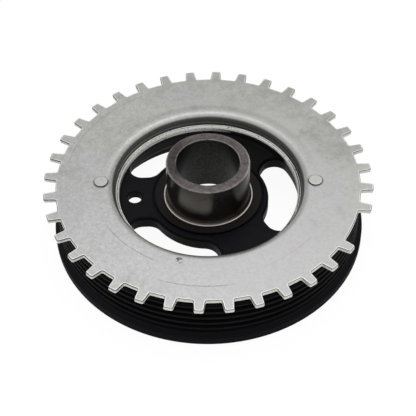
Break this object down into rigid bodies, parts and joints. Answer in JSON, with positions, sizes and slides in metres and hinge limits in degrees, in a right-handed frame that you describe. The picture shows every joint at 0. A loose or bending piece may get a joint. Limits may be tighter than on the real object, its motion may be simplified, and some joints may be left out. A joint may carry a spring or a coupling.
{
  "type": "harmonic balancer",
  "caption": "Crankshaft damper pulley: bored nose on a kidney-windowed web, grooved belt ring bonded on rubber, stamped timing ring with a missing tooth.",
  "frame": {"origin": "on the axis, at the pulley's front face, which the part rests on", "axes": "+Z along the axis, from the front face to the nose that enters the timing cover. +X through the middle of a tooth, the second one after the missing tooth, counted anticlockwise seen from the nose. +Y completes the right-handed frame."},
  "size_m": [0.1468, 0.1468, 0.0396],
  "materials": {
    "hub_iron": "satin black coat on the cast faces, bare turned metal on the nose, the ledge and the rim's shoulder",
    "damper_rubber": "moulded, dull black",
    "ring_iron": "thin satin black coat over turned metal, worn bare on the rib crests",
    "sheet_steel": "stamped sheet, lightly mottled and scuffed"
  },
  "bodies": {
    "root": {"hub": "hub_iron", "damping_ring": "damper_rubber", "pulley_ring": "ring_iron", "timing_ring": "sheet_steel"}
  },
  "joints": []
}
